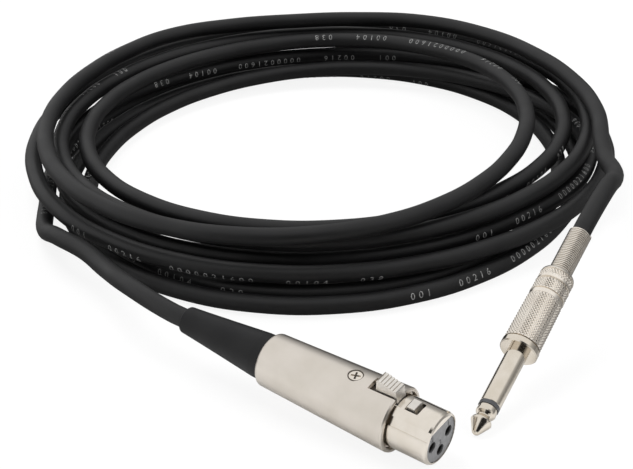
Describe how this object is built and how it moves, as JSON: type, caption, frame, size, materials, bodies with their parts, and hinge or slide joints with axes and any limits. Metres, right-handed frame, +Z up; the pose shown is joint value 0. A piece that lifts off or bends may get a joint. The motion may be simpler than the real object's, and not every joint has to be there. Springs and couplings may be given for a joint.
{
  "type": "xlr cable coil",
  "caption": "Coiled black microphone cable with a latching XLR socket connector at its front end and a knurled phone plug with a spring strain relief at the other.",
  "frame": {"origin": "centre of the bounding box of the whole part, on the surface it lies on", "axes": "+Z up from the surface, -Y towards the two connectors, +X towards the phone plug's side"},
  "size_m": [0.216, 0.3057, 0.0396],
  "materials": {
    "satin_nickel": "satin nickel plate",
    "bright_nickel": "bright nickel plate",
    "spring_steel": "plain spring steel",
    "spring_nickel": "nickel-plated spring wire",
    "grey_plastic": "moulded grey plastic",
    "gilt_brass": "plated contact brass",
    "black_plastic": "black moulded plastic",
    "boot_rubber": "smooth black rubber",
    "jacket": "matt black flexible PVC",
    "core_red": "insulated core",
    "core_white": "insulated core",
    "shield_copper": "twisted copper shield",
    "fibre": "pressed fibre",
    "clear_tube": "thin plastic tube"
  },
  "bodies": {
    "cable": {"xlr_shell": "satin_nickel", "xlr_front_shell": "bright_nickel", "xlr_insulator": "grey_plastic", "xlr_contact_1": "gilt_brass", "xlr_contact_2": "gilt_brass", "xlr_contact_3": "gilt_brass", "xlr_latch_pin": "spring_steel", "xlr_latch_spring": "spring_steel", "xlr_retaining_screw": "bright_nickel", "xlr_cable_clamp": "black_plastic", "xlr_boot": "boot_rubber", "xlr_wire_1": "shield_copper", "xlr_wire_2": "core_red", "xlr_wire_3": "core_white", "cable_tail_xlr": "jacket", "plug_tip": "bright_nickel", "plug_insulator_ring": "black_plastic", "plug_rod_insulator": "black_plastic", "plug_sleeve": "bright_nickel", "plug_ground_lug": "bright_nickel", "plug_rear_washer": "fibre", "plug_tip_lug": "bright_nickel", "plug_insulating_tube": "clear_tube", "plug_handle": "satin_nickel", "plug_spring": "spring_nickel", "plug_core_wire": "core_white", "plug_shield_wire": "shield_copper", "cable_tail_plug": "jacket", "cable_coil": "jacket", "cable_lead_xlr": "jacket", "cable_lead_plug": "jacket"},
    "latch": {"xlr_latch": "satin_nickel"}
  },
  "joints": [
    {"name": "xlr_latch_press", "type": "hinge", "parent": "cable", "child": "latch", "pos_m": [0.01139, -0.13308, 0.01697], "axis": [0.5914, 0.7911, 0.156], "range_deg": [0, 3.5], "stiffness_Nm_per_rad": 0.2, "springref_deg": -5.73, "deforming": ["xlr_latch_spring"]}
  ]
}
